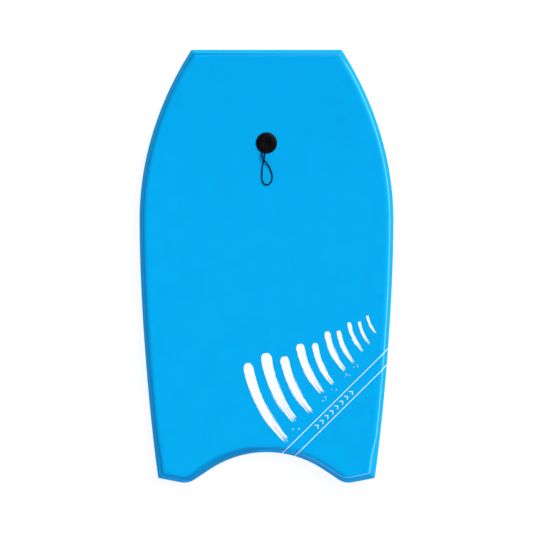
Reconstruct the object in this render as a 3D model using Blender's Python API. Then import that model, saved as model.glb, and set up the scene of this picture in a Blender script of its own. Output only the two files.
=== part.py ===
"""Bodyboard with a straight nose, a crescent tail, bevelled upper rails and a screw-in leash plug.

Metres, +Z up. The board lies on its slick: the origin is under the middle of its plan, the nose is at +Y
and the deck faces up. Every long edge piece follows one plan outline, inset as far as its own section asks.
"""

import math

import bmesh
import bpy
from mathutils import Matrix, Vector
from mathutils.geometry import delaunay_2d_cdt

# Overall size
LENGTH = 1.0414
THICKNESS = 0.056
GAP = 0.0003

# Plan outline, right half
NOSE_HALF_WIDTH = 0.1802
WIDEST_HALF_WIDTH = 0.3063
WIDEST_Y = 0.1145
NOSE_FLARE = math.radians(33.6)
NOSE_HANDLE = 0.0820
WIDEST_HANDLE_FRONT = 0.1888
WIDEST_HANDLE_BACK = 0.2269
TAIL_TAPER = math.radians(8.48)
TAIL_HANDLE = 0.1135
TAIL_CORNER_X = 0.2612
CRESCENT_RADIUS = 0.2456
CRESCENT_DEPTH = 0.0735
HORN_RADIUS = 0.045
HORN_X = 0.1985
HORN_RISE = math.radians(10.85)
FRONT_STEPS = 12
BACK_STEPS = 8
HORN_STEPS = 2
CRESCENT_STEPS = 8

# Nose rocker: the board curves up from ROCKER_Y to the nose
ROCKER_Y = 0.070
ROCKER_LIFT = 0.030

# Section of the edge, as (inset from the widest line, height)
APEX_HEIGHT = 0.036
CHINE = [(0.0, APEX_HEIGHT), (0.0115, 0.0533), (0.0145, 0.0550), (0.020, THICKNESS)]
RAIL_UNDERCUT = 0.005
SKIN = 0.004
RAIL_WALL = 0.005
SLICK = 0.0015
SLICK_EDGE = 0.0006

# Channels moulded in the underside near the tail
CHANNEL_X = 0.150
CHANNEL_BACK_Y = -0.455
CHANNEL_FRONT_Y = -0.150
CHANNEL_HALF_WIDTH = 0.024
CHANNEL_DEPTH = 0.005
CHANNEL_SIDE_RUN = 0.007
CHANNEL_FRONT_RUN = 0.045
CHANNEL_BACK_RUN = 0.012
CHANNEL_END_STEPS = 5
CHANNEL_OVERRUN = 0.003

# Leash plug, in its own frame: w = 0 is the deck
PLUG_Y = 0.2973
PLUG_RADIUS = 0.0255
PLUG_SEAT = 0.00045
HOLE_RADIUS = 0.00375
HOLE_MOUTH = 0.0023
MOUTH_ROUND = 0.0006
WEB_UNDERSIDE = -0.0022
STEM_BORE = 0.0055
STEM_END = -0.038
THREAD_ROOT = 0.0080
THREAD_HEIGHT = 0.0010
THREAD_PITCH = 0.005
THREAD_TOP = -0.006
THREAD_BOTTOM = THREAD_TOP - 6 * THREAD_PITCH
SLEEVE_RADIUS = 0.0120
SLEEVE_TOP = -0.0045
WELL_FLOOR = -0.043
BORE_CLEARANCE = 0.0004
BASE_THICKNESS = 0.0022
BASE_BEVEL = (0.0022, 0.0014)
BASE_RIM = (0.0004, 0.0006)
COIN_SLOT = (0.020, 0.0028, 0.0012)
BORE_OVERRUN = 0.020
PLUG_SEGMENTS = 32
THREAD_STEPS_PER_PITCH = 4

# Section of the plug's disc from its dished middle to its rim, as (radius, height)
DISC = [
    (0.0080, HOLE_MOUTH),
    (0.0095, 0.0038),
    (0.0115, 0.0043),
    (0.0165, 0.0040),
    (0.0215, 0.0032),
    (0.0245, 0.0022),
    (PLUG_RADIUS, 0.0012),
]

# Cord
CORD_RADIUS = 0.0015
CORD_REST = CORD_RADIUS + 0.0004
CORD_POINTS = 44
CORD_SIDES = 8
LEG_X = 0.00175
HINGE_HEIGHT = 0.0041
KNOT_RADIUS = 0.0045
KNOT_CENTRE = -0.0095
KNOT_STEPS = 8
KNOT_SEGMENTS = 12

FILL_TOLERANCE = 1e-7
NOSE_Y = LENGTH / 2
ROCKER = ROCKER_LIFT / (NOSE_Y - ROCKER_Y) ** 2

MATERIALS = {
    "deck_foam": ((0.0, 0.42, 0.87), 0.6, 0.0),
    "core_foam": ((0.86, 0.87, 0.86), 0.8, 0.0),
    "slick_plastic": ((0.80, 0.82, 0.84), 0.25, 0.0),
    "rail_foam": ((0.0, 0.42, 0.87), 0.6, 0.0),
    "plug_plastic": ((0.012, 0.012, 0.014), 0.45, 0.0),
    "cord": ((0.010, 0.010, 0.012), 0.85, 0.0),
}


def clear_scene():
    for thing in list(bpy.data.objects):
        bpy.data.objects.remove(thing, do_unlink=True)


def material(name):
    found = bpy.data.materials.get(name)
    if found:
        return found
    colour, roughness, metallic = MATERIALS[name]
    made = bpy.data.materials.new(name)
    made.use_nodes = True
    shader = made.node_tree.nodes["Principled BSDF"]
    shader.inputs["Base Color"].default_value = (*colour, 1.0)
    shader.inputs["Roughness"].default_value = roughness
    shader.inputs["Metallic"].default_value = metallic
    made.diffuse_color = (*colour, 1.0)
    return made


def add_object(name, bm, finish=None, smooth_angle=35):
    """A mesh object from bm, with its faces turned outwards."""
    bmesh.ops.recalc_face_normals(bm, faces=bm.faces)
    mesh = bpy.data.meshes.new(name)
    bm.to_mesh(mesh)
    bm.free()
    mesh.shade_smooth()
    mesh.set_sharp_from_angle(angle=math.radians(smooth_angle))
    thing = bpy.data.objects.new(name, mesh)
    bpy.context.scene.collection.objects.link(thing)
    if finish:
        mesh.materials.append(material(finish))
    return thing


def helper(thing):
    """Marks a cutter: it shapes other pieces and isn't one itself."""
    thing.hide_render = True
    thing.display_type = "WIRE"
    return thing


def combine(thing, other, operation):
    step = thing.modifiers.new(f"{operation.lower()} {other.name}", "BOOLEAN")
    step.operation = operation
    step.object = other
    step.solver = "EXACT"


# ---- Plan outline -------------------------------------------------------------------------------


def bezier(a, b, c, d, t):
    s = 1 - t
    return a * s**3 + b * 3 * s * s * t + c * 3 * s * t * t + d * t**3


def half_outline():
    """The right half from the nose corner to the middle of the crescent, and where its corners are."""
    nose = Vector((NOSE_HALF_WIDTH, NOSE_Y))
    widest = Vector((WIDEST_HALF_WIDTH, WIDEST_Y))
    horn = Vector((HORN_X, -LENGTH / 2 + HORN_RADIUS))
    end_start = horn + HORN_RADIUS * Vector((math.sin(HORN_RISE), -math.cos(HORN_RISE)))
    tail_y = end_start.y + (TAIL_CORNER_X - end_start.x) * math.tan(HORN_RISE)
    tail = Vector((TAIL_CORNER_X, tail_y))
    flare = Vector((math.sin(NOSE_FLARE), -math.cos(NOSE_FLARE)))
    taper = Vector((math.sin(TAIL_TAPER), math.cos(TAIL_TAPER)))
    down = Vector((0, -1))
    points = [
        bezier(
            nose,
            nose + flare * NOSE_HANDLE,
            widest - down * WIDEST_HANDLE_FRONT,
            widest,
            i / FRONT_STEPS,
        )
        for i in range(FRONT_STEPS)
    ]
    points += [
        bezier(
            widest,
            widest + down * WIDEST_HANDLE_BACK,
            tail + taper * TAIL_HANDLE,
            tail,
            i / BACK_STEPS,
        )
        for i in range(BACK_STEPS + 1)
    ]
    corners = {"nose": 0, "tail": len(points) - 1}
    # The horn's round tip, on both sides of its lowest point
    crescent = Vector((0, -LENGTH / 2 + CRESCENT_DEPTH - CRESCENT_RADIUS))
    span = horn - crescent
    lean = math.acos((CRESCENT_RADIUS + HORN_RADIUS) / span.length)
    meet = math.atan2(span.y, span.x) + lean
    outer_end = HORN_RISE - math.pi / 2
    lowest = -math.pi / 2
    inner_end = meet - math.pi
    for start, end, skip in ((outer_end, lowest, 0), (lowest, inner_end, 1)):
        if skip:
            corners["horn"] = len(points) - 1
        for i in range(skip, HORN_STEPS + 1):
            angle = start + (end - start) * i / HORN_STEPS
            points.append(horn + HORN_RADIUS * Vector((math.cos(angle), math.sin(angle))))
    for i in range(CRESCENT_STEPS + 1):
        angle = meet + (math.pi / 2 - meet) * i / CRESCENT_STEPS
        points.append(crescent + CRESCENT_RADIUS * Vector((math.cos(angle), math.sin(angle))))
    return points, corners


def whole_outline():
    """The closed outline, clockwise from the right nose corner, and the places of its six corners."""
    right, at = half_outline()
    left = [Vector((-p.x, p.y)) for p in reversed(right[:-1])]
    count = len(right) + len(left)
    places = {
        "nose_right": at["nose"],
        "tail_right": at["tail"],
        "horn_right": at["horn"],
        "horn_left": count - 1 - at["horn"],
        "tail_left": count - 1 - at["tail"],
        "nose_left": count - 1 - at["nose"],
    }
    return right + left, places


OUTLINE, CORNER = whole_outline()
COUNT = len(OUTLINE)


def inset_directions():
    """How far each outline point moves per metre of inset, mitred at the corners."""
    moves = []
    for i, point in enumerate(OUTLINE):
        into = (point - OUTLINE[i - 1]).normalized()
        out = (OUTLINE[(i + 1) % COUNT] - point).normalized()
        a, b = Vector((into.y, -into.x)), Vector((out.y, -out.x))
        moves.append((a + b) / (1 + a.dot(b)))
    return moves


INSET = inset_directions()


def rocker(y):
    return ROCKER * max(0.0, y - ROCKER_Y) ** 2


def ring(inset, height):
    """The outline moved inwards and lifted to a height over the slick's face, following the rocker."""
    flat = [p + m * inset for p, m in zip(OUTLINE, INSET)]
    return [Vector((p.x, p.y, height + rocker(p.y))) for p in flat]


def rail_inset(height):
    """The lower rail leans in from the apex to the slick."""
    return RAIL_UNDERCUT * (1 - height / APEX_HEIGHT)


def inside(path, depth):
    """A section path moved inwards by depth: level at its first point, straight down at its last."""
    normals = []
    for (a, b), (c, d) in zip(path, path[1:]):
        run = Vector((c - a, d - b)).normalized()
        normals.append(Vector((run.y, -run.x)))
    moved = [(path[0][0] + depth / normals[0].x, path[0][1])]
    for (a, b), m, n in zip(path[1:-1], normals, normals[1:]):
        move = (m + n) / (1 + m.dot(n)) * depth
        moved.append((a + move.x, b + move.y))
    moved.append((path[-1][0], path[-1][1] - depth))
    return moved


# ---- Solids that follow the outline -------------------------------------------------------------


def bridge(bm, lower, upper):
    for i in range(len(lower)):
        j = (i + 1) % len(lower)
        bm.faces.new((lower[i], lower[j], upper[j], upper[i]))


def close(bm, verts):
    """Fills a whole ring, with an edge straight across the board at each row of the curved nose."""
    flat = [v.co.xy for v in verts]
    rows = [
        (i, COUNT - 1 - i) for i in range(CORNER["tail_right"]) if OUTLINE[i].y > ROCKER_Y / 2
    ]
    filled = delaunay_2d_cdt(flat, rows, [list(range(COUNT))], 1, FILL_TOLERANCE)
    source = [ids[0] for ids in filled[3]]
    for face in filled[2]:
        bm.faces.new([verts[source[i]] for i in face])


def layered_solid(name, rings, finish):
    """A solid from closed rings, each joined to the next, with both ends filled."""
    bm = bmesh.new()
    loops = [[bm.verts.new(p) for p in points] for points in rings]
    for lower, upper in zip(loops, loops[1:]):
        bridge(bm, lower, upper)
    close(bm, loops[0])
    close(bm, loops[-1])
    return add_object(name, bm, finish)


def edge_strip(name, first, last, finish):
    """The rail's foam strip along the outline from one corner to another."""
    low, high = SLICK + GAP, APEX_HEIGHT
    outer = [(rail_inset(low), low), (rail_inset(high), high)]
    section = [*outer, *((d + RAIL_WALL, z) for d, z in reversed(outer))]
    rings = [ring(d, z) for d, z in section]
    length = (CORNER[last] - CORNER[first]) % COUNT
    stations = [(CORNER[first] + i) % COUNT for i in range(length + 1)]
    rows = [[points[i] for points in rings] for i in stations]
    for end, beside in ((0, 1), (-1, -2)):
        for k, point in enumerate(rows[end]):
            rows[end][k] = point + (rows[beside][k] - point).normalized() * GAP / 2
    bm = bmesh.new()
    loops = [[bm.verts.new(p) for p in row] for row in rows]
    for here, there in zip(loops, loops[1:]):
        bridge(bm, here, there)
    bm.faces.new(loops[0])
    bm.faces.new(loops[-1])
    return add_object(name, bm, finish)


def edge_strips():
    edge_strip("rail_strip_right", "nose_right", "tail_right", "rail_foam")
    edge_strip("tail_strip_right", "tail_right", "horn_right", "rail_foam")
    edge_strip("tail_strip_centre", "horn_right", "horn_left", "rail_foam")
    edge_strip("tail_strip_left", "horn_left", "tail_left", "rail_foam")
    edge_strip("rail_strip_left", "tail_left", "nose_left", "rail_foam")
    edge_strip("nose_strip", "nose_left", "nose_right", "rail_foam")


def channel(name, side, wider, bottom, top):
    """A channel's space, or the space round it when wider, with ramped sides and ends."""
    slope = CHANNEL_SIDE_RUN / CHANNEL_DEPTH
    bm = bmesh.new()
    loops = []
    for height in (bottom, top):
        rise = height / CHANNEL_DEPTH
        half = CHANNEL_HALF_WIDTH + wider - slope * height
        front = CHANNEL_FRONT_Y + wider - CHANNEL_FRONT_RUN * rise
        back = CHANNEL_BACK_Y - wider + CHANNEL_BACK_RUN * rise
        points = []
        for centre, start in ((front - half, 0), (back + half, math.pi)):
            for i in range(CHANNEL_END_STEPS + 1):
                angle = start + math.pi * i / CHANNEL_END_STEPS
                points.append((
                    side * CHANNEL_X + half * math.cos(angle),
                    centre + half * math.sin(angle),
                    height,
                ))
        loops.append([bm.verts.new(p) for p in points])
    bridge(bm, *loops)
    bm.faces.new(loops[0])
    bm.faces.new(loops[1])
    return helper(add_object(name, bm))


# ---- Turned pieces ------------------------------------------------------------------------------


def turned(name, rows, segments, finish, looped):
    """A solid of revolution about Z. A row is (radius, height), and its radius may be a function of the
    angle. Rows with no radius are single points on the axis; looped joins the last row to the first."""
    bm = bmesh.new()
    loops = []
    for radius, height in rows:
        if radius == 0:
            loops.append([bm.verts.new((0, 0, height))])
            continue
        loop = []
        for i in range(segments):
            angle = 2 * math.pi * i / segments
            r = radius(angle) if callable(radius) else radius
            loop.append(bm.verts.new((r * math.cos(angle), r * math.sin(angle), height)))
        loops.append(loop)
    pairs = list(zip(loops, loops[1:]))
    if looped:
        pairs.append((loops[-1], loops[0]))
    for lower, upper in pairs:
        if len(lower) == len(upper):
            bridge(bm, lower, upper)
            continue
        tip, loop = (lower[0], upper) if len(lower) == 1 else (upper[0], lower)
        for i in range(segments):
            bm.faces.new((tip, loop[i], loop[(i + 1) % segments]))
    return add_object(name, bm, finish)


def thread_crest(angle, height):
    """0 at the root and 1 at the crest of a single-start thread."""
    phase = (height / THREAD_PITCH - angle / (2 * math.pi)) % 1.0
    return 1 - abs(2 * phase - 1)


def thread_rows(top, bottom, radius_at):
    """Rows down a thread from top to bottom, with its height fading in over a pitch at both ends."""
    step = THREAD_PITCH / THREAD_STEPS_PER_PITCH
    count = round((top - bottom) / step)
    rows = []
    for i in range(count + 1):
        height = top - step * i
        fade = min(1.0, (top - height) / THREAD_PITCH, (height - bottom) / THREAD_PITCH)
        rows.append((lambda a, z=height, f=fade: radius_at(a, z, f), height))
    return rows


def male_radius(angle, height, fade):
    return THREAD_ROOT + THREAD_HEIGHT * fade * thread_crest(angle, height)


def female_radius(angle, height, fade):
    hollow = 1 - fade * (1 - thread_crest(angle, height))
    return THREAD_ROOT + BORE_CLEARANCE + THREAD_HEIGHT * hollow


def plug_top():
    """Domed disc with a dished middle, a hole for the cord, and a hollow threaded stem."""
    hole = [
        (STEM_BORE, WEB_UNDERSIDE),
        (HOLE_RADIUS, WEB_UNDERSIDE),
        (HOLE_RADIUS, HOLE_MOUTH - MOUTH_ROUND),
        (HOLE_RADIUS + MOUTH_ROUND, HOLE_MOUTH),
    ]
    seat = [(PLUG_RADIUS, PLUG_SEAT), (THREAD_ROOT, PLUG_SEAT)]
    stem = [
        *thread_rows(THREAD_TOP, THREAD_BOTTOM, male_radius),
        (THREAD_ROOT, STEM_END),
        (STEM_BORE, STEM_END),
    ]
    rows = [*hole, *DISC, *seat, *stem]
    return turned("leash_plug_top", rows, PLUG_SEGMENTS, "plug_plastic", looped=True)


def plug_base(underside):
    """Disc under the slick with a sleeve that rises through the core and takes the stem's thread."""
    seat = underside - GAP
    face = seat - BASE_THICKNESS
    bore = THREAD_ROOT + BORE_CLEARANCE + THREAD_HEIGHT
    rows = [
        (0, face),
        (PLUG_RADIUS - BASE_BEVEL[0], face),
        (PLUG_RADIUS - BASE_RIM[0], seat - BASE_BEVEL[1]),
        (PLUG_RADIUS, seat - BASE_RIM[1]),
        (PLUG_RADIUS, seat),
        (SLEEVE_RADIUS, seat),
        (SLEEVE_RADIUS, SLEEVE_TOP),
        (bore, SLEEVE_TOP),
        *thread_rows(THREAD_TOP, THREAD_BOTTOM, female_radius),
        (bore, WELL_FLOOR),
        (0, WELL_FLOOR),
    ]
    base = turned("leash_plug_base", rows, PLUG_SEGMENTS, "plug_plastic", looped=False)
    bm = bmesh.new()
    bmesh.ops.create_cube(bm, size=1.0)
    length, width, depth = COIN_SLOT
    bmesh.ops.scale(bm, vec=(length, width, 2 * depth), verts=bm.verts)
    slot = helper(add_object("coin_slot_space", bm))
    slot.location.z = face
    combine(base, slot, "DIFFERENCE")
    return base, slot


def plug_bore(name, radius, top, bottom):
    rows = [(0, bottom), (radius, bottom), (radius, top), (0, top)]
    return helper(turned(name, rows, PLUG_SEGMENTS, None, looped=False))


# ---- Cord ---------------------------------------------------------------------------------------

# The loop lies towards the tail: across, along the deck, and height of the cord's middle over the deck
ROUTE = [
    (-0.00175, 0.0000, 0.0041),
    (-0.0032, -0.0050, 0.0049),
    (-0.0056, -0.0110, 0.0063),
    (-0.0082, -0.0165, 0.0062),
    (-0.0102, -0.0212, 0.0056),
    (-0.0115, -0.0262, 0.0050),
    (-0.0113, -0.0315, 0.0050),
    (-0.0092, -0.0366, 0.0053),
    (-0.0058, -0.0410, 0.0053),
    (-0.0012, -0.0458, 0.0044),
    (0.0040, -0.0530, 0.0028),
    (0.0088, -0.0620, CORD_REST),
    (0.0124, -0.0725, CORD_REST),
    (0.0138, -0.0825, CORD_REST),
    (0.0122, -0.0915, CORD_REST),
    (0.0062, -0.0984, CORD_REST),
    (-0.0015, -0.1000, CORD_REST),
    (-0.0078, -0.0954, CORD_REST),
    (-0.0104, -0.0870, CORD_REST),
    (-0.0109, -0.0770, CORD_REST),
    (-0.0105, -0.0665, CORD_REST),
    (-0.0094, -0.0560, CORD_REST),
    (-0.0078, -0.0475, CORD_REST),
    (-0.0062, -0.0410, CORD_REST),
    (-0.0052, -0.0345, 0.0022),
    (-0.0044, -0.0285, 0.0037),
    (-0.0034, -0.0225, 0.0052),
    (-0.0020, -0.0165, 0.0060),
    (-0.0002, -0.0105, 0.0062),
    (0.0012, -0.0050, 0.0049),
    (0.00175, 0.0000, 0.0041),
]


def smooth_curve(points, steps=12):
    """A Catmull-Rom curve through the points, with centripetal spacing."""
    ends = [2 * points[0] - points[1], *points, 2 * points[-1] - points[-2]]
    made = []
    for a, b, c, d in zip(ends, ends[1:], ends[2:], ends[3:]):
        t1 = math.sqrt((b - a).length)
        t2 = t1 + math.sqrt((c - b).length)
        t3 = t2 + math.sqrt((d - c).length)
        for i in range(steps):
            t = t1 + (t2 - t1) * i / steps
            ab = a.lerp(b, t / t1)
            bc = b.lerp(c, (t - t1) / (t2 - t1))
            cd = c.lerp(d, (t - t2) / (t3 - t2))
            abc = ab.lerp(bc, t / t2)
            bcd = bc.lerp(cd, (t - t1) / (t3 - t1))
            made.append(abc.lerp(bcd, (t - t1) / (t2 - t1)))
    made.append(points[-1])
    return made


def evenly(points, count):
    """count points at equal steps along a fine polyline."""
    along = [0.0]
    for a, b in zip(points, points[1:]):
        along.append(along[-1] + (b - a).length)
    made, k = [], 0
    for i in range(count):
        want = along[-1] * i / (count - 1)
        while k < len(points) - 2 and along[k + 1] < want:
            k += 1
        made.append(points[k].lerp(points[k + 1], (want - along[k]) / (along[k + 1] - along[k])))
    return made


def cord_path():
    """The loop's middle line in the plug's frame. The deck curves up a little under it."""
    points = [Vector((u, v, w + ROCKER * v * v)) for u, v, w in ROUTE]
    return evenly(smooth_curve(points), CORD_POINTS)


def string_loop(hinge):
    data = bpy.data.curves.new("string_loop", "CURVE")
    data.dimensions = "3D"
    data.bevel_depth = CORD_RADIUS
    data.bevel_resolution = 2
    data.use_fill_caps = True
    data.render_resolution_u = 0
    line = data.splines.new("POLY")
    path = cord_path()
    line.points.add(len(path) - 1)
    for point, place in zip(line.points, path):
        point.co = (*(place - Vector((0, 0, HINGE_HEIGHT))), 1)
    data.materials.append(material("cord"))
    loop = bpy.data.objects.new("string_loop", data)
    bpy.context.scene.collection.objects.link(loop)
    loop.parent = hinge
    return loop


def string_knot(plug):
    """Stopper knot under the disc, with the cord's two legs up through the hole."""
    rows = []
    for i in range(KNOT_STEPS + 1):
        angle = math.pi * i / KNOT_STEPS - math.pi / 2
        radius = 0 if i in (0, KNOT_STEPS) else KNOT_RADIUS * math.cos(angle)
        rows.append((radius, KNOT_CENTRE + KNOT_RADIUS * math.sin(angle)))
    knot = turned("string_knot", rows, KNOT_SEGMENTS, "cord", looped=False)
    knot.parent = plug
    for side, name in ((-1, "leg_left"), (1, "leg_right")):
        profile = [
            (0, KNOT_CENTRE),
            (CORD_RADIUS, KNOT_CENTRE),
            (CORD_RADIUS, HOLE_MOUTH),
            (0, HOLE_MOUTH),
        ]
        leg = helper(turned(name, profile, CORD_SIDES, None, looped=False))
        leg.parent = plug
        leg.location.x = side * LEG_X
        combine(knot, leg, "UNION")
    return knot


# ---- Assembly -----------------------------------------------------------------------------------


def empty(name, place, tilt):
    axis = bpy.data.objects.new(name, None)
    axis.matrix_world = Matrix.Translation(place) @ Matrix.Rotation(tilt, 4, "X")
    axis.empty_display_size = 0.03
    bpy.context.scene.collection.objects.link(axis)
    return axis


def build():
    clear_scene()
    core_chine = inside(CHINE, SKIN + GAP)
    core_low = SLICK + GAP
    core_side = RAIL_WALL + GAP
    core = layered_solid(
        "foam_core",
        [
            ring(rail_inset(core_low) + core_side, core_low),
            ring(core_side, APEX_HEIGHT),
            *(ring(d, z) for d, z in core_chine[1:]),
        ],
        "core_foam",
    )
    skin_outer = [(CHINE[0][0], APEX_HEIGHT + GAP), *CHINE[1:]]
    skin = layered_solid(
        "deck_skin",
        [ring(d, z) for d, z in reversed(inside(skin_outer, SKIN))]
        + [ring(d, z) for d, z in skin_outer],
        "deck_foam",
    )
    slick = layered_solid(
        "slick_bottom",
        [
            ring(rail_inset(0) + SLICK_EDGE, 0.0),
            ring(rail_inset(0), SLICK_EDGE),
            ring(rail_inset(SLICK), SLICK),
        ],
        "slick_plastic",
    )
    edge_strips()

    for side, word in ((-1, "left"), (1, "right")):
        below = -CHANNEL_OVERRUN
        roof = CHANNEL_DEPTH + SLICK
        shell = channel(f"channel_shell_{word}", side, SLICK, SLICK / 2, roof)
        space = channel(f"channel_space_{word}", side, 0.0, below, CHANNEL_DEPTH)
        room = channel(f"channel_room_{word}", side, SLICK + GAP, below, roof + GAP)
        combine(slick, shell, "UNION")
        combine(slick, space, "DIFFERENCE")
        combine(core, room, "DIFFERENCE")

    slope = math.atan(2 * ROCKER * (PLUG_Y - ROCKER_Y))
    plug = empty("plug_axis", (0, PLUG_Y, THICKNESS + rocker(PLUG_Y)), slope)
    hinge = empty("loop_hinge", (0, 0, HINGE_HEIGHT), 0)
    hinge.parent = plug
    underside = -THICKNESS * math.cos(slope)
    bore = plug_bore(
        "plug_bore", SLEEVE_RADIUS + GAP, BORE_OVERRUN, underside - BORE_OVERRUN
    )
    base, slot = plug_base(underside)
    for piece in (plug_top(), base, slot, bore):
        piece.parent = plug
    for piece in (skin, core, slick):
        combine(piece, bore, "DIFFERENCE")
    string_knot(plug)
    string_loop(hinge)


build()
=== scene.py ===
"""A 41-inch bodyboard: foam deck on a bead-foam core, six edge strips, slick bottom and leash plug."""

import math
import random

import bmesh
import bpy
from mathutils import Matrix, Vector
from mathutils.bvhtree import BVHTree
from mathutils.geometry import delaunay_2d_cdt


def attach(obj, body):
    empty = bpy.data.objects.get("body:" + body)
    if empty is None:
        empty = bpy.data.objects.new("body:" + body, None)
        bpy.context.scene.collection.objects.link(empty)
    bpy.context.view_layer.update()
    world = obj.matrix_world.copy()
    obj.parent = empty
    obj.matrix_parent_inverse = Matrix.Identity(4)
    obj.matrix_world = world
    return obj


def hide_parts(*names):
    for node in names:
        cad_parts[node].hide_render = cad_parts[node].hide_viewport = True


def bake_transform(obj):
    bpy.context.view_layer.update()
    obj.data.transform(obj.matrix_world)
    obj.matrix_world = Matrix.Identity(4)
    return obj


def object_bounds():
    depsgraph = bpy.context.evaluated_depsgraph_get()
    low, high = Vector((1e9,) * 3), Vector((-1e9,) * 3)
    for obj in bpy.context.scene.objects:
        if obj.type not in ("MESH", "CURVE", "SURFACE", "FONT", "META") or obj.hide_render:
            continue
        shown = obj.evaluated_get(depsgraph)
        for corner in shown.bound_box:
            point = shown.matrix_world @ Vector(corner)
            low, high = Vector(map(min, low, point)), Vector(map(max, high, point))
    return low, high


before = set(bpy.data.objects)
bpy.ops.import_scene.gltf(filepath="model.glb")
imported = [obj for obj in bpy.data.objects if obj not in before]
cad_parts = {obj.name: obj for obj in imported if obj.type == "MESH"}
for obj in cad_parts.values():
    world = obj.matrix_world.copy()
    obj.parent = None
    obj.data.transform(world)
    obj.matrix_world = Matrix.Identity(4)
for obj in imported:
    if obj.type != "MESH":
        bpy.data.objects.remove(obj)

CAD_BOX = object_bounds()
MM = 0.001

# ---- The board's own sizes, as in its solid model ----

LENGTH = 1.0414
THICKNESS = 0.056
NOSE_HALF_WIDTH = 0.1802
WIDEST_HALF_WIDTH = 0.3063
WIDEST_Y = 0.1145
NOSE_FLARE = math.radians(33.6)
NOSE_HANDLE = 0.0820
WIDEST_HANDLE_FRONT = 0.1888
WIDEST_HANDLE_BACK = 0.2269
TAIL_TAPER = math.radians(8.48)
TAIL_HANDLE = 0.1135
TAIL_CORNER_X = 0.2612
CRESCENT_RADIUS = 0.2456
CRESCENT_DEPTH = 0.0735
HORN_RADIUS = 0.045
HORN_X = 0.1985
HORN_RISE = math.radians(10.85)
ROCKER_Y = 0.070
ROCKER = 0.030 / (LENGTH / 2 - ROCKER_Y) ** 2
APEX_HEIGHT = 0.036
RAIL_UNDERCUT = 0.005
RAIL_WALL = 0.005
SKIN = 0.004
SLICK = 0.0015
GAP = 0.0003
CHANNEL_X = 0.150
CHANNEL_BACK_Y = -0.455
CHANNEL_FRONT_Y = -0.150
CHANNEL_HALF_WIDTH = 0.024
CHANNEL_DEPTH = 0.005
CHANNEL_SIDE_RUN = 0.007
CHANNEL_FRONT_RUN = 0.045
CHANNEL_BACK_RUN = 0.012
PLUG_Y = 0.2973
PLUG_RADIUS = 0.0255
PLUG_SEAT = 0.00045
HOLE_RADIUS = 0.00375
HOLE_MOUTH = 0.0023
STEM_BORE = 0.0055
STEM_END = -0.038
THREAD_ROOT = 0.0080
THREAD_HEIGHT = 0.0010
THREAD_PITCH = 0.005
THREAD_TOP = -0.006
THREAD_BOTTOM = THREAD_TOP - 6 * THREAD_PITCH
SLEEVE_RADIUS = 0.0120
CORD_RADIUS = 0.0015
CORD_REST = CORD_RADIUS + 0.0004

# How finely the visible pieces follow the same outline
FRONT_STEPS = 72
BACK_STEPS = 60
HORN_STEPS = 10
CRESCENT_STEPS = 44


def link(thing):
    bpy.context.scene.collection.objects.link(thing)


def add_mesh(name, bm, body, finish, replaces=(), smooth_angle=40):
    """A finished piece: its mesh, its material, the body it rides on and the solid it stands for."""
    bmesh.ops.recalc_face_normals(bm, faces=bm.faces)
    mesh = bpy.data.meshes.new(name)
    bm.to_mesh(mesh)
    bm.free()
    mesh.shade_smooth()
    mesh.set_sharp_from_angle(angle=math.radians(smooth_angle))
    mesh.materials.append(finish)
    piece = bpy.data.objects.new(name, mesh)
    link(piece)
    if body:
        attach(piece, body)
    if replaces:
        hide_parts(*replaces)
    return piece


# ---- Camera ----

FRAME_WIDTH = 1.2838
LENS, SENSOR = 150.0, 36.0
CAMERA_AIM = Vector((0, 0.0008, 0.045))


def make_camera():
    data = bpy.data.cameras.new("camera")
    data.lens, data.sensor_width = LENS, SENSOR
    data.clip_end = 60
    camera = bpy.data.objects.new("camera", data)
    camera.location = CAMERA_AIM + Vector((0, 0, FRAME_WIDTH * LENS / SENSOR))
    link(camera)
    bpy.context.scene.camera = camera


make_camera()


# ---- Materials ----


def linear(hex_value):
    """The linear RGBA of an sRGB hex colour."""
    made = []
    for i in (0, 2, 4):
        c = int(hex_value[i : i + 2], 16) / 255
        made.append(c / 12.92 if c <= 0.04045 else ((c + 0.055) / 1.055) ** 2.4)
    return (*made, 1.0)


def add(tree, kind, links=None, stops=(), **settings):
    """Adds a node. Settings are its own properties; links and values go to its inputs by name or
    place. Stops are the (place, colour) marks of a colour ramp."""
    made = tree.nodes.new(kind)
    for key, value in settings.items():
        setattr(made, key, value)
    for i, (place, colour) in enumerate(stops):
        marks = made.color_ramp.elements
        mark = marks[i] if i < len(marks) else marks.new(place)
        mark.position, mark.color = place, colour
    for key, value in (links or {}).items():
        if isinstance(value, bpy.types.NodeSocket):
            tree.links.new(value, made.inputs[key])
        else:
            made.inputs[key].default_value = value
    return made


# Places of the colour sockets on a mix node
MIX_A, MIX_B, MIX_RESULT = 6, 7, 2


def grey(value):
    return (value, value, value, 1.0)


def start_material(name, **inputs):
    made = bpy.data.materials.new(name)
    made.use_nodes = True
    tree = made.node_tree
    shader = tree.nodes["Principled BSDF"]
    for key, value in inputs.items():
        shader.inputs[key.replace("_", " ")].default_value = value
    place = add(tree, "ShaderNodeTexCoord").outputs["Object"]
    return made, tree, shader, place


def feed(tree, shader, **sockets):
    """Links sockets to the shader's inputs, which are written with an underscore for each space."""
    for key, socket in sockets.items():
        tree.links.new(socket, shader.inputs[key.replace("_", " ")])


def per_metre(size_mm):
    """A pattern's scale from the real size of its grain in millimetres."""
    return 1 / (size_mm * MM)


# Foam: the slow drift of its colour and the specks of its cells, in mm
DRIFT_MM = 45.45
SPECK_MM = 2.38
SHEEN_VARIES = 0.06
CREASE_ROUGHNESS = 0.36
# The crease line's colours: painted shade on the left and painted highlight on the right
CREASE_PAINTED_SHADE = "0090CF"
CREASE_PAINTED_HIGHLIGHT = "6CC8F4"


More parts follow.
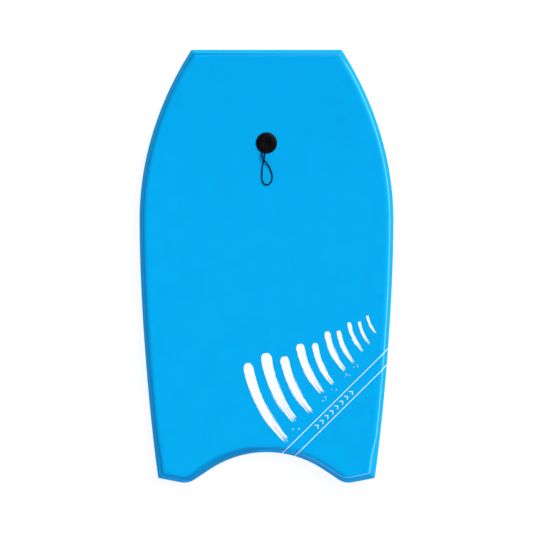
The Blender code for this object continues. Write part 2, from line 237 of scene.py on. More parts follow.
def foam_finish(name, body, light, deep, pebble_mm, depth_mm, roughness):
    """Closed-cell polyethylene foam, skived and heat-laminated: matt, with a fine pebble of pressed
    cells. The crease line's colour is painted light and shade: painted shade, darker, on the left,
    and painted highlight, paler, on the right."""
    made, tree, shader, place = start_material(
        name, IOR=1.5, Specular_IOR_Level=0.05, Roughness=roughness
    )
    cells = add(
        tree, "ShaderNodeTexVoronoi",
        {"Vector": place, "Scale": per_metre(pebble_mm), "Randomness": 1.0},
        feature="SMOOTH_F1",
    ).outputs["Distance"]
    drift = add(
        tree, "ShaderNodeTexNoise", {"Vector": place, "Scale": per_metre(DRIFT_MM), "Detail": 3.0}
    ).outputs["Fac"]
    speck = add(
        tree, "ShaderNodeTexNoise", {"Vector": place, "Scale": per_metre(SPECK_MM), "Detail": 4.0}
    ).outputs["Fac"]
    both = add(tree, "ShaderNodeMath", {0: drift, 1: speck}, operation="ADD").outputs["Value"]
    tone = add(tree, "ShaderNodeMath", {0: both, 1: 0.5}, operation="MULTIPLY").outputs["Value"]
    colour = add(
        tree, "ShaderNodeValToRGB", {"Fac": tone},
        stops=[(0.32, linear(deep)), (0.50, linear(body)), (0.70, linear(light))],
    ).outputs["Color"]
    crease = add(tree, "ShaderNodeAttribute", attribute_name="crease").outputs["Fac"]
    painted_highlight = add(tree, "ShaderNodeAttribute", attribute_name="painted_highlight").outputs["Fac"]
    # The crease line's colour, from painted shade on the left to painted highlight on the right,
    # painted over the foam
    line = add(
        tree, "ShaderNodeMix",
        {"Factor": painted_highlight, MIX_A: linear(CREASE_PAINTED_SHADE), MIX_B: linear(CREASE_PAINTED_HIGHLIGHT)},
        data_type="RGBA",
    ).outputs[MIX_RESULT]
    # The crease may count for more than 1 at the nose, where it dips deeper and its painted shade is
    # darker, so the mix isn't clamped
    creased = add(
        tree, "ShaderNodeMix", {"Factor": crease, MIX_A: colour, MIX_B: line},
        data_type="RGBA", clamp_factor=False,
    ).outputs[MIX_RESULT]
    sheen = add(
        tree, "ShaderNodeMapRange",
        {"Value": speck, "From Min": 0.3, "From Max": 0.7,
         "To Min": roughness - SHEEN_VARIES, "To Max": roughness + SHEEN_VARIES},
    ).outputs["Result"]
    ironed = add(
        tree, "ShaderNodeMapRange", {"Value": crease, "To Min": sheen, "To Max": CREASE_ROUGHNESS}
    ).outputs["Result"]
    bump = add(
        tree, "ShaderNodeBump", {"Height": cells, "Distance": depth_mm * MM, "Strength": 1.0}
    ).outputs["Normal"]
    feed(tree, shader, Base_Color=creased, Roughness=ironed, Normal=bump)
    return made


# The pressed cells are really under 1 mm across, and are drawn as coarse as they need to show
DECK = foam_finish("deck polyethylene foam", "00ABEE", "00AFF1", "00A7EB", 1.6, 0.10, 0.50)
RAIL = foam_finish("rail polyethylene foam", "00A7EB", "02ADEF", "00A1E6", 1.9, 0.16, 0.55)

BEAD_MM = 4.17


def bead_foam_finish():
    """Expanded bead foam, steam-moulded: dull 4 mm beads pressed flat against each other."""
    made, tree, shader, place = start_material(
        "core bead foam", IOR=1.5, Specular_IOR_Level=0.2, Roughness=0.8
    )
    beads = add(
        tree, "ShaderNodeTexVoronoi", {"Vector": place, "Scale": per_metre(BEAD_MM)},
        feature="DISTANCE_TO_EDGE",
    ).outputs["Distance"]
    colour = add(
        tree, "ShaderNodeValToRGB", {"Fac": beads},
        stops=[(0.0, linear("D9DBDA")), (0.12, linear("EFF0EF"))],
    ).outputs["Color"]
    bump = add(
        tree, "ShaderNodeBump", {"Height": beads, "Distance": 0.4 * MM, "Strength": 1.0}
    ).outputs["Normal"]
    feed(tree, shader, Base_Color=colour, Normal=bump)
    return made


# Slick: the lines that the sheet was drawn with, across and along, and its haze, in mm
DRAW_LINE_MM, DRAW_LINE_LENGTH_MM = 1.11, 71.43
HAZE_MM = 71.43


def slick_finish():
    """High-density polyethylene sheet, extruded and heat-laminated: smooth, waxy and slightly hazy,
    with faint lines along it from the die. They are drawn coarser than the real ones, to show."""
    made, tree, shader, place = start_material(
        "slick polyethylene sheet", IOR=1.54, Roughness=0.28, Specular_IOR_Level=0.5
    )
    fine, long = per_metre(DRAW_LINE_MM), per_metre(DRAW_LINE_LENGTH_MM)
    drawn = add(
        tree, "ShaderNodeMapping", {"Vector": place, "Scale": (fine, long, fine)}
    ).outputs["Vector"]
    lines = add(
        tree, "ShaderNodeTexNoise", {"Vector": drawn, "Scale": 1.0, "Detail": 3.0}
    ).outputs["Fac"]
    haze = add(
        tree, "ShaderNodeTexNoise", {"Vector": place, "Scale": per_metre(HAZE_MM), "Detail": 5.0}
    ).outputs["Fac"]
    colour = add(
        tree, "ShaderNodeValToRGB", {"Fac": haze},
        stops=[(0.3, linear("E6EAEC")), (0.7, linear("F3F5F6"))],
    ).outputs["Color"]
    gloss = add(
        tree, "ShaderNodeMapRange",
        {"Value": lines, "From Min": 0.25, "From Max": 0.75, "To Min": 0.20, "To Max": 0.36},
    ).outputs["Result"]
    bump = add(
        tree, "ShaderNodeBump", {"Height": lines, "Distance": 0.02 * MM, "Strength": 0.6}
    ).outputs["Normal"]
    feed(tree, shader, Base_Color=colour, Roughness=gloss, Normal=bump)
    return made


# Nylon: the spark-eroded grain, drawn coarser than its real 0.1 mm to show, and the flow marks, in mm
SPARK_MM = 0.588
FLOW_MM = 11.11


def plug_finish():
    """Injection-moulded nylon from a spark-eroded mould: black, fine grain, with a low even gloss."""
    made, tree, shader, place = start_material(
        "moulded nylon", IOR=1.53, Roughness=0.42, Specular_IOR_Level=0.09
    )
    grain = add(
        tree, "ShaderNodeTexNoise", {"Vector": place, "Scale": per_metre(SPARK_MM), "Detail": 5.0}
    ).outputs["Fac"]
    flow = add(
        tree, "ShaderNodeTexNoise", {"Vector": place, "Scale": per_metre(FLOW_MM), "Detail": 2.0}
    ).outputs["Fac"]
    colour = add(
        tree, "ShaderNodeValToRGB", {"Fac": flow},
        stops=[(0.35, linear("030304")), (0.65, linear("070709"))],
    ).outputs["Color"]
    gloss = add(
        tree, "ShaderNodeMapRange",
        {"Value": grain, "From Min": 0.3, "From Max": 0.7, "To Min": 0.36, "To Max": 0.50},
    ).outputs["Result"]
    bump = add(
        tree, "ShaderNodeBump", {"Height": grain, "Distance": 0.05 * MM, "Strength": 0.7}
    ).outputs["Normal"]
    feed(tree, shader, Base_Color=colour, Roughness=gloss, Normal=bump)
    return made


def grained_finish(name, stops, grain_mm, detail, depth_mm, relief, **inputs):
    """A material whose colour and relief both follow one fine grain."""
    made, tree, shader, place = start_material(name, **inputs)
    grain = add(
        tree, "ShaderNodeTexNoise",
        {"Vector": place, "Scale": per_metre(grain_mm), "Detail": detail},
    ).outputs["Fac"]
    colour = add(tree, "ShaderNodeValToRGB", {"Fac": grain}, stops=stops).outputs["Color"]
    bump = add(
        tree, "ShaderNodeBump", {"Height": grain, "Distance": depth_mm * MM, "Strength": relief}
    ).outputs["Normal"]
    feed(tree, shader, Base_Color=colour, Normal=bump)
    return made


CORE = bead_foam_finish()
SLICK_SHEET = slick_finish()
NYLON = plug_finish()
# Braided polyester cord, dyed black: dull, with a soft sheen from the bundles of fibres in each strand
BRAID = grained_finish(
    "braided polyester", [(0.3, linear("030304")), (0.7, linear("09090A"))],
    grain_mm=0.1923, detail=3.0, depth_mm=0.06, relief=0.8,
    IOR=1.55, Roughness=0.75, Specular_IOR_Level=0.08, Sheen_Weight=0.02, Sheen_Roughness=0.5,
)
# White ink screen-printed on foam: an even satin film, a little thin in patches over the pebble
INK = grained_finish(
    "white screen ink", [(0.28, linear("F0F6FA")), (0.45, linear("FDFDFD"))],
    grain_mm=1.54, detail=4.0, depth_mm=0.04, relief=0.6,
    IOR=1.5, Roughness=0.45, Specular_IOR_Level=0.35,
)


# ---- Plug frame ----

PLUG_SLOPE = math.atan(2 * ROCKER * (PLUG_Y - ROCKER_Y))
PLUG_PLACE = (0, PLUG_Y, THICKNESS + ROCKER * (PLUG_Y - ROCKER_Y) ** 2)
PLUG_FRAME = Matrix.Translation(PLUG_PLACE) @ Matrix.Rotation(PLUG_SLOPE, 4, "X")


def at_plug(u, v, w):
    """A point across, along and above the deck at the plug."""
    return PLUG_FRAME @ Vector((u, v, w))


# ---- Cord ----

# The loop lies towards the tail: across, along the deck, and height of the cord's middle over the deck
ROUTE = [
    (-0.00175, 0.0000, 0.0041), (-0.0032, -0.0050, 0.0049),
    (-0.0056, -0.0110, 0.0063), (-0.0082, -0.0165, 0.0062),
    (-0.0102, -0.0212, 0.0056), (-0.0115, -0.0262, 0.0050),
    (-0.0113, -0.0315, 0.0050), (-0.0092, -0.0366, 0.0053),
    (-0.0058, -0.0410, 0.0053), (-0.0012, -0.0458, 0.0044),
    (0.0040, -0.0530, 0.0028), (0.0088, -0.0620, CORD_REST),
    (0.0124, -0.0725, CORD_REST), (0.0138, -0.0825, CORD_REST),
    (0.0122, -0.0915, CORD_REST), (0.0062, -0.0984, CORD_REST),
    (-0.0015, -0.1000, CORD_REST), (-0.0078, -0.0954, CORD_REST),
    (-0.0104, -0.0870, CORD_REST), (-0.0109, -0.0770, CORD_REST),
    (-0.0105, -0.0665, CORD_REST), (-0.0094, -0.0560, CORD_REST),
    (-0.0078, -0.0475, CORD_REST), (-0.0062, -0.0410, CORD_REST),
    (-0.0052, -0.0345, 0.0022), (-0.0044, -0.0285, 0.0037),
    (-0.0034, -0.0225, 0.0052), (-0.0020, -0.0165, 0.0060),
    (-0.0002, -0.0105, 0.0062), (0.0012, -0.0050, 0.0049),
    (0.00175, 0.0000, 0.0041),
]
CORD_STUB = 0.0036
CORD_STATIONS = 900
CORD_SIDES = 24
BRAID_PAIRS = 8
BRAID_RELIEF = 0.00022
BRAID_PROUD = 0.00012
STRAND_ROUND = 2.5
STRAND_DIP = 0.45


def smooth_curve(points, steps=12):
    """A Catmull-Rom curve through the points, with centripetal spacing."""
    ends = [2 * points[0] - points[1], *points, 2 * points[-1] - points[-2]]
    made = []
    for a, b, c, d in zip(ends, ends[1:], ends[2:], ends[3:]):
        t1 = math.sqrt((b - a).length)
        t2 = t1 + math.sqrt((c - b).length)
        t3 = t2 + math.sqrt((d - c).length)
        for i in range(steps):
            t = t1 + (t2 - t1) * i / steps
            ab = a.lerp(b, t / t1)
            bc = b.lerp(c, (t - t1) / (t2 - t1))
            cd = c.lerp(d, (t - t2) / (t3 - t2))
            abc = ab.lerp(bc, t / t2)
            bcd = bc.lerp(cd, (t - t1) / (t3 - t1))
            made.append(abc.lerp(bcd, (t - t1) / (t2 - t1)))
    made.append(points[-1])
    return made


def evenly(points, count):
    """count points at equal steps along a fine polyline."""
    along = [0.0]
    for a, b in zip(points, points[1:]):
        along.append(along[-1] + (b - a).length)
    made, k = [], 0
    for i in range(count):
        want = along[-1] * i / (count - 1)
        while k < len(points) - 2 and along[k + 1] < want:
            k += 1
        made.append(points[k].lerp(points[k + 1], (want - along[k]) / (along[k + 1] - along[k])))
    return made


def cord_path():
    """The cord's middle line, from just inside the plug's hole, round the loop and back in."""
    route = [Vector((u, v, w + ROCKER * v * v)) for u, v, w in ROUTE]
    stub = Vector((0, 0, CORD_STUB))
    points = [route[0] - stub, *route, route[-1] - stub]
    return [at_plug(*p) for p in evenly(smooth_curve(points), CORD_STATIONS)]


def braid_height(turn, along):
    """0 to 1 over a one-over-one braid: two families of strands that pass over each other in turn."""
    lay = 2 * math.pi * CORD_RADIUS
    a = BRAID_PAIRS * (turn + along / lay)
    b = BRAID_PAIRS * (turn - along / lay)
    over = (math.floor(a) + math.floor(b)) % 2 == 0
    across, down = (a % 1, b % 1) if over else (b % 1, a % 1)
    crossing = 1 - STRAND_DIP * (1 - math.sin(math.pi * down))
    return (1 - abs(2 * across - 1) ** STRAND_ROUND) * crossing


def tube(name, path, finish):
    """A braided tube along a path, with rounded closed ends and no twist."""
    bm = bmesh.new()
    rings = []
    along = 0.0
    tangent = (path[1] - path[0]).normalized()
    side = tangent.orthogonal().normalized()
    for i, point in enumerate(path):
        before, after = path[max(0, i - 1)], path[min(len(path) - 1, i + 1)]
        turned = (after - before).normalized()
        side = (tangent.rotation_difference(turned) @ side).normalized()
        side = (side - turned * side.dot(turned)).normalized()
        up = turned.cross(side)
        tangent = turned
        along += (point - before).length
        loop = []
        for k in range(CORD_SIDES):
            turn = k / CORD_SIDES
            radius = CORD_RADIUS + BRAID_PROUD - BRAID_RELIEF * (1 - braid_height(turn, along))
            angle = 2 * math.pi * turn
            out = math.cos(angle) * side + math.sin(angle) * up
            loop.append(bm.verts.new(point + radius * out))
        rings.append(loop)
    for here, there in zip(rings, rings[1:]):
        for k in range(CORD_SIDES):
            j = (k + 1) % CORD_SIDES
            bm.faces.new((here[k], here[j], there[j], there[k]))
    bm.faces.new(rings[0])
    bm.faces.new(rings[-1])
    return add_mesh(name, bm, None, finish, smooth_angle=60)


CORD_LINE = cord_path()
CORD_LENGTH = sum((b - a).length for a, b in zip(CORD_LINE, CORD_LINE[1:]))
cord = tube("leash_string", CORD_LINE, BRAID)
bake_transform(cord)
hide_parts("string_loop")


# ---- Plan outline ----

CORNER_ROUND = 0.004
CORNER_SLIDE = 0.048
CORNER_STEPS = 4


def bezier(a, b, c, d, t):
    s = 1 - t
    return a * s**3 + b * 3 * s * s * t + c * 3 * s * t * t + d * t**3


def half_outline():
    """The right half from the nose corner to the middle of the crescent, and where its corners are."""
    nose = Vector((NOSE_HALF_WIDTH, LENGTH / 2))
    widest = Vector((WIDEST_HALF_WIDTH, WIDEST_Y))
    horn = Vector((HORN_X, -LENGTH / 2 + HORN_RADIUS))
    end_start = horn + HORN_RADIUS * Vector((math.sin(HORN_RISE), -math.cos(HORN_RISE)))
    tail_y = end_start.y + (TAIL_CORNER_X - end_start.x) * math.tan(HORN_RISE)
    tail = Vector((TAIL_CORNER_X, tail_y))
    flare = Vector((math.sin(NOSE_FLARE), -math.cos(NOSE_FLARE)))
    taper = Vector((math.sin(TAIL_TAPER), math.cos(TAIL_TAPER)))
    down = Vector((0, -1))
    front = (nose, nose + flare * NOSE_HANDLE, widest - down * WIDEST_HANDLE_FRONT, widest)
    back = (widest, widest + down * WIDEST_HANDLE_BACK, tail + taper * TAIL_HANDLE, tail)
    points = [bezier(*front, i / FRONT_STEPS) for i in range(FRONT_STEPS)]
    points += [bezier(*back, i / BACK_STEPS) for i in range(BACK_STEPS + 1)]
    corners = {"nose": 0, "tail": len(points) - 1}
    crescent = Vector((0, -LENGTH / 2 + CRESCENT_DEPTH - CRESCENT_RADIUS))
    span = horn - crescent
    lean = math.acos((CRESCENT_RADIUS + HORN_RADIUS) / span.length)
    meet = math.atan2(span.y, span.x) + lean
    lowest = -math.pi / 2
    for start, end, skip in ((HORN_RISE + lowest, lowest, 0), (lowest, meet - math.pi, 1)):
        if skip:
            corners["horn"] = len(points) - 1
        for i in range(skip, HORN_STEPS + 1):
            angle = start + (end - start) * i / HORN_STEPS
            points.append(horn + HORN_RADIUS * Vector((math.cos(angle), math.sin(angle))))
    for i in range(1, CRESCENT_STEPS + 1):
        angle = meet + (math.pi / 2 - meet) * i / CRESCENT_STEPS
        points.append(crescent + CRESCENT_RADIUS * Vector((math.cos(angle), math.sin(angle))))
    return points, corners


def rounded(before, corner, after):
    """A small arc in place of a sharp corner, with a point at its middle."""
    a, b = (before - corner).normalized(), (after - corner).normalized()
    half = a.angle(b) / 2
    centre = corner + (a + b).normalized() * CORNER_ROUND / math.sin(half)
    reach = CORNER_ROUND / math.tan(half)
    start, end = corner + a * reach - centre, corner + b * reach - centre
    first = math.atan2(start.y, start.x)
    turn = (math.atan2(end.y, end.x) - first + math.pi) % (2 * math.pi) - math.pi
    made = []
    for i in range(2 * CORNER_STEPS + 1):
        angle = first + turn * i / (2 * CORNER_STEPS)
        made.append(centre + CORNER_ROUND * Vector((math.cos(angle), math.sin(angle))))
    return made


def whole_outline():
    """The closed outline, clockwise from the right nose corner, and the places of its six corners."""
    right, at = half_outline()
    left = [Vector((-p.x, p.y)) for p in reversed(right[:-1])]
    sharp = right + left
    count = len(sharp)
    names = {
        at["nose"]: "nose_right",
        at["tail"]: "tail_right",
        at["horn"]: "horn_right",
        count - 1 - at["horn"]: "horn_left",
        count - 1 - at["tail"]: "tail_left",
        count - 1 - at["nose"]: "nose_left",
    }
    made, places = [], {}
    for i, point in enumerate(sharp):
        name = names.get(i, "")
        if name and not name.startswith("horn"):
            places[name] = len(made) + CORNER_STEPS
            made += rounded(sharp[i - 1], point, sharp[(i + 1) % count])
            continue
        if name:
            places[name] = len(made)
        made.append(point)
    return made, places


OUTLINE, CORNER = whole_outline()
COUNT = len(OUTLINE)


def mitre(before, here, there, after):
    """How far a corner moves per metre of inset, from the edge into it and the edge out of it."""
    into, out = (here - before).normalized(), (after - there).normalized()
    a, b = Vector((into.y, -into.x)), Vector((out.y, -out.x))
    return (a + b) / (1 + a.dot(b))


def inset_directions():
    """Each outline point's move per metre of inset. A rounded corner moves whole, to stay as round,
    and the points near it slide along the edge with it, so that none is overtaken."""
    moves = []
    for i, point in enumerate(OUTLINE):
        moves.append(mitre(OUTLINE[i - 1], point, point, OUTLINE[(i + 1) % COUNT]))
    for name, middle in CORNER.items():
        if name.startswith("horn"):
            continue
        arc = [(middle + k) % COUNT for k in range(-CORNER_STEPS, CORNER_STEPS + 1)]
        move = mitre(
            OUTLINE[arc[0] - 1], OUTLINE[arc[0]], OUTLINE[arc[-1]], OUTLINE[(arc[-1] + 1) % COUNT]
        )
        for k in arc:
            moves[k] = move
        for end, step in ((arc[0], -1), (arc[-1], 1)):
            k, gone = end, 0.0
            while True:
                ahead = (k + step) % COUNT
                gone += (OUTLINE[ahead] - OUTLINE[k]).length
                if gone >= CORNER_SLIDE:
                    break
                along = (OUTLINE[(ahead + 1) % COUNT] - OUTLINE[ahead - 1]).normalized()
                moves[ahead] = moves[ahead] + along * move.dot(along) * (1 - gone / CORNER_SLIDE)
                k = ahead
    return moves


INSET = inset_directions()


def rocker(y):
    return ROCKER * max(0.0, y - ROCKER_Y) ** 2


def flat_ring(inset):
    return [p + m * inset for p, m in zip(OUTLINE, INSET)]


def ring(inset, height):
    """The outline moved inwards and lifted to a height over the slick's face, following the rocker."""
    return [Vector((p.x, p.y, height + rocker(p.y))) for p in flat_ring(inset)]


def rail_inset(height):
    return RAIL_UNDERCUT * (1 - height / APEX_HEIGHT)


def bridge(bm, lower, upper):
    for i in range(len(lower)):
        j = (i + 1) % len(lower)
        bm.faces.new((lower[i], lower[j], upper[j], upper[i]))


def circle(centre, radius, count):
    angles = [2 * math.pi * i / count for i in range(count)]
    return [Vector(centre) + radius * Vector((math.cos(a), math.sin(a))) for a in angles]


def anticlockwise(loop):
    """The loop's places in the order that runs anticlockwise."""
    area = sum(a.x * b.y - b.x * a.y for a, b in zip(loop, [*loop[1:], loop[0]]))
    return list(range(len(loop)))[:: 1 if area > 0 else -1]


# Shares of a grid's spacing: its row height, and its clearance of edges, holes and lines
GRID_ROW = 0.87
EDGE_CLEARANCE = 0.55
HOLE_CLEARANCE = 0.5
LINE_CLEARANCE = 0.4


def grid_inside(loop, spacing, holes):
    """Points on a staggered grid, inside a loop and clear of it and of the holes."""
    tree = BVHTree.FromPolygons(
        [(p.x, p.y, z) for z in (-1, 1) for p in loop],
        [(i, (i + 1) % len(loop), (i + 1) % len(loop) + len(loop), i + len(loop))
         for i in range(len(loop))],
    )
    xs, ys = [p.x for p in loop], [p.y for p in loop]
    made = []
    row = 0
    y = min(ys) + spacing
    while y < max(ys):
        x = min(xs) + spacing * (0.5 if row % 2 else 1.0)
        start, crossings = Vector((min(xs) - 1, y, 0)), []
        while True:
            hit = tree.ray_cast(start, Vector((1, 0, 0)))[0]
            if hit is None:
                break
            crossings.append(hit.x)
            start = Vector((hit.x + 1e-6, y, 0))
        while x < max(xs):
            inside = sum(c < x for c in crossings) % 2
            if inside and tree.find_nearest((x, y, 0))[3] > EDGE_CLEARANCE * spacing:
                here = Vector((x, y))
                if all((here - Vector(c)).length > r + HOLE_CLEARANCE * spacing for c, r in holes):
                    made.append(here)
            x += spacing
        y += spacing * GRID_ROW
        row += 1
    return made


def fill(bm, loop, height_at, spacing, holes=(), inner_loops=()):
    """Fills a ring of vertices with a fine surface, and returns the vertices round each hole."""
    flat = [v.co.xy for v in loop]
    count = len(flat)
    points = list(flat)
    faces = [anticlockwise(flat)]
    edges, hole_spans = [], []
    for centre, radius, segments in holes:
        first = len(points)
        points += circle(centre, radius, segments)
        faces.append(list(range(first, len(points))))
        hole_spans.append((first, len(points)))
    for line in inner_loops:
        first = len(points)
        points += line
        edges += [(first + i, first + (i + 1) % len(line)) for i in range(len(line))]
    fixed = points[count:]
    for point in grid_inside(flat, spacing, [(c, r) for c, r, _ in holes]):
        if all((point - q).length > LINE_CLEARANCE * spacing for q in fixed):
            points.append(point)
    made = delaunay_2d_cdt(points, edges, faces, 1, 1e-7)
    verts = {}
    for i, place in enumerate(made[0]):
        source = made[3][i]
        if source and source[0] < count:
            verts[i] = loop[source[0]]
        else:
            verts[i] = bm.verts.new((place.x, place.y, height_at(place.x, place.y)))
    of_source = {s: i for i, ids in enumerate(made[3]) for s in ids}
    for face, owners in zip(made[2], made[5]):
        if len(owners) == 1 and owners[0] == 0:
            bm.faces.new([verts[i] for i in face])
    return [[verts[of_source[k]] for k in range(a, b)] for a, b in hole_spans]


# ---- Deck skin ----

# Section of the upper edge, as (inset, height) in mm: the lip, the chine, the soft shoulder
EDGE_KEYS = [
    (0.00, 36.9), (0.40, 38.1), (2.60, 41.2), (5.60, 45.4),
    (7.40, 47.91), (8.60, 49.58), (9.60, 50.85), (10.6, 52.05),
    (11.6, 53.05), (12.6, 53.88), (13.8, 54.62), (15.2, 55.20),
    (17.0, 55.68), (19.0, 55.93), (22.0, 56.0), (26.0, 56.0),
]
EDGE_STEPS = 3
LIP_RUN = 0.0009
LIP_EASE = 0.0003
TAIL_EASE = 0.24
TAIL_EASE_FROM = -0.40
TAIL_EASE_RUN = 0.06

# The crease line: how far in its middle lies, half its flat width, its fading sides and its depth, its
# broadening round the crescent's left half, and how much deeper and darker it is at the nose. Its
# share also sets the painted shade and painted highlight of its colour
CREASE_INSET = 0.0099
CREASE_TAIL_END_INSET = 0.0113
CREASE_TAIL_RIGHT_SHIFT = 0.0018
CREASE_CRESCENT_INSET = 0.0088
CREASE_NOSE_INSET = 0.0116
CREASE_FLAT = 0.0007
CREASE_BROAD = 0.0040
CREASE_NOSE_BROAD = 0.0005
CREASE_NOSE_DEEPER_AND_DARKER = 0.6
CREASE_BROAD_FADE = 0.0060
CREASE_FADE = 0.0008
CREASE_DIP = 0.00015

# Where the chine's regions begin, and over what run they blend
HORN_FROM = 0.17
HORN_RUN = 0.04
MIDDLE_RUN = 0.05
NOSE_FROM = LENGTH / 2 - 0.05
NOSE_RUN = 0.03
# How the crease's painted highlight comes in from the left to the right, and how much of it is left at
# the nose
HIGHLIGHT_RUN = 0.14
NOSE_HIGHLIGHT = 0.20

SKIN_GRID = 0.012
UNDER_GRID = 0.030
BORE_SEGMENTS = 48
PLUG_BORE = [((0, PLUG_Y), SLEEVE_RADIUS + GAP, BORE_SEGMENTS)]


def smooth_share(value):
    """0 to 1 with soft ends."""
    t = min(1.0, max(0.0, value))
    return t * t * (3 - 2 * t)


def tail_share(y):
    return smooth_share((TAIL_EASE_FROM - y) / TAIL_EASE_RUN)


def nose_share(y):
    return smooth_share((y - NOSE_FROM) / NOSE_RUN)


def crease_share(inset, x, y):
    """How much a place on the chine belongs to the crease: a line that runs further in at the nose and
    the tail's ends, dips deeper with darker painted shade at the nose, and broadens round the
    crescent's left half into a band of painted shade."""
    tail = tail_share(y)
    end = smooth_share((abs(x) - HORN_FROM) / HORN_RUN)
    end_inset = CREASE_TAIL_END_INSET + CREASE_TAIL_RIGHT_SHIFT * smooth_share(x / MIDDLE_RUN)
    tail_inset = CREASE_CRESCENT_INSET + (end_inset - CREASE_CRESCENT_INSET) * end
    middle = CREASE_INSET + (tail_inset - CREASE_INSET) * tail
    middle += (CREASE_NOSE_INSET - CREASE_INSET) * nose_share(y)
    broad = tail * (1 - end) * smooth_share(-x / MIDDLE_RUN)
    flat = CREASE_FLAT + CREASE_BROAD * broad + CREASE_NOSE_BROAD * nose_share(y)
    fade = CREASE_FADE + CREASE_BROAD_FADE * broad
    share = min(1.0, max(0.0, (flat + fade - abs(inset - middle)) / fade))
    return share * (1 + CREASE_NOSE_DEEPER_AND_DARKER * nose_share(y))


def painted_highlight_share(x, y):
    """How much painted highlight the crease has, against painted shade: none on the left, full on the
    right, and a little at the nose.
    """
    share = smooth_share(x / HIGHLIGHT_RUN)
    return share * (1 - (1 - NOSE_HIGHLIGHT) * nose_share(y))


def chine_ring(inset, height):
    """A ring of the chine. Past the skin's thickness it is eased further in round the tail, where
    the shoulder is softer."""
    made = []
    for p, m in zip(OUTLINE, INSET):
        ease = TAIL_EASE * tail_share(p.y)
        q = p + m * (inset + ease * max(0.0, inset - SKIN))
        made.append(Vector((q.x, q.y, height + rocker(q.y))))
    return made


def edge_section():
    keys = [Vector((d * MM, z * MM, 0)) for d, z in EDGE_KEYS]
    return [(p.x, p.y) for p in smooth_curve(keys, EDGE_STEPS)]


def deck_skin():
    """The foam deck, wrapped over the chine to the rail's seam, as one closed sheet 4 mm thick."""
    outer = edge_section()
    lip = APEX_HEIGHT + GAP
    outer = [(LIP_RUN, lip), (LIP_EASE, lip + LIP_EASE / 3), *outer]
    inner = []
    for i, (d, z) in enumerate(outer[2:], 2):
        a, b = Vector(outer[i - 1]), Vector(outer[min(i + 1, len(outer) - 1)])
        run = (b - a).normalized()
        inner.append((d + run.y * SKIN, z - run.x * SKIN))
    inner = [(SKIN + 2 * LIP_EASE, lip)] + [p for p in inner if p[1] > lip + LIP_EASE]
    bm = bmesh.new()
    crease = bm.verts.layers.float.new("crease")
    painted_highlight = bm.verts.layers.float.new("painted_highlight")
    section = [*reversed(inner), *outer]
    loops = [[bm.verts.new(p) for p in chine_ring(d, z)] for d, z in section]
    # The crease share dips and smooths the surface and paints its shade; the other layer sets painted
    # highlight against painted shade
    for (d, _), loop in zip(outer, loops[len(inner):]):
        for vert in loop:
            x, y, _ = vert.co
            vert[crease] = crease_share(d, x, y)
            vert[painted_highlight] = painted_highlight_share(x, y)
            vert.co.z -= CREASE_DIP * vert[crease]
    for lower, upper in zip(loops, loops[1:]):
        bridge(bm, lower, upper)
    top = fill(bm, loops[-1], lambda x, y: THICKNESS + rocker(y), SKIN_GRID, PLUG_BORE)
    under = fill(bm, loops[0], lambda x, y: THICKNESS - SKIN + rocker(y), UNDER_GRID, PLUG_BORE)
    bridge(bm, under[0], top[0])
    return add_mesh("deck", bm, "board", DECK, ["deck_skin"])


deck = deck_skin()


# ---- Slick ----

CHANNEL_STEPS = 16
SLICK_ROUND = 0.0007
SLICK_EASE = 0.0002


def channel_loop(side, height):
    """A channel's outline at a height over the slick's face."""
    rise = height / CHANNEL_DEPTH
    half = CHANNEL_HALF_WIDTH - CHANNEL_SIDE_RUN * rise
    front = CHANNEL_FRONT_Y - CHANNEL_FRONT_RUN * rise
    back = CHANNEL_BACK_Y + CHANNEL_BACK_RUN * rise
    made = []
    for centre, start in ((front - half, 0), (back + half, math.pi)):
        for i in range(CHANNEL_STEPS + 1):
            angle = start + math.pi * i / CHANNEL_STEPS
            x = side * CHANNEL_X + half * math.cos(angle)
            made.append(Vector((x, centre + half * math.sin(angle))))
    return made


def slick_bottom():
    """The slick sheet, with two channels pressed into it, as one closed sheet."""
    roofs = [BVHTree.FromPolygons(
        [(p.x, p.y, 0) for p in channel_loop(side, CHANNEL_DEPTH - 1e-5)],
        [tuple(range(2 * CHANNEL_STEPS + 2))],
    ) for side in (-1, 1)]

    def height_at(x, y):
        down = Vector((0, 0, -1))
        sunk = any(tree.ray_cast(Vector((x, y, 1)), down)[0] for tree in roofs)
        return rocker(y) + (CHANNEL_DEPTH if sunk else 0.0)

    channels = [channel_loop(side, z) for side in (-1, 1) for z in (0.0, CHANNEL_DEPTH)]
    edge = [
        (rail_inset(0) + SLICK_ROUND, 0.0),
        (rail_inset(0) + SLICK_EASE, SLICK_EASE),
        (rail_inset(0), SLICK_ROUND),
        (rail_inset(SLICK) + SLICK_EASE / 2, SLICK - SLICK_EASE),
        (rail_inset(SLICK) + SLICK_EASE * 2, SLICK),
    ]
    bm = bmesh.new()
    loops = [[bm.verts.new(p) for p in ring(d, z)] for d, z in edge]
    for lower, upper in zip(loops, loops[1:]):
        bridge(bm, lower, upper)
    low = fill(bm, loops[0], height_at, UNDER_GRID, PLUG_BORE, channels)
    high = fill(bm, loops[-1], lambda x, y: height_at(x, y) + SLICK, UNDER_GRID, PLUG_BORE, channels)
    bridge(bm, low[0], high[0])
    return add_mesh("slick", bm, "board", SLICK_SHEET, ["slick_bottom"])


slick_bottom()


# ---- Edge strips ----

STRIP_ROUND = 0.0008
STRIP_CROWN = 0.0004
STRIP_ROWS = 10


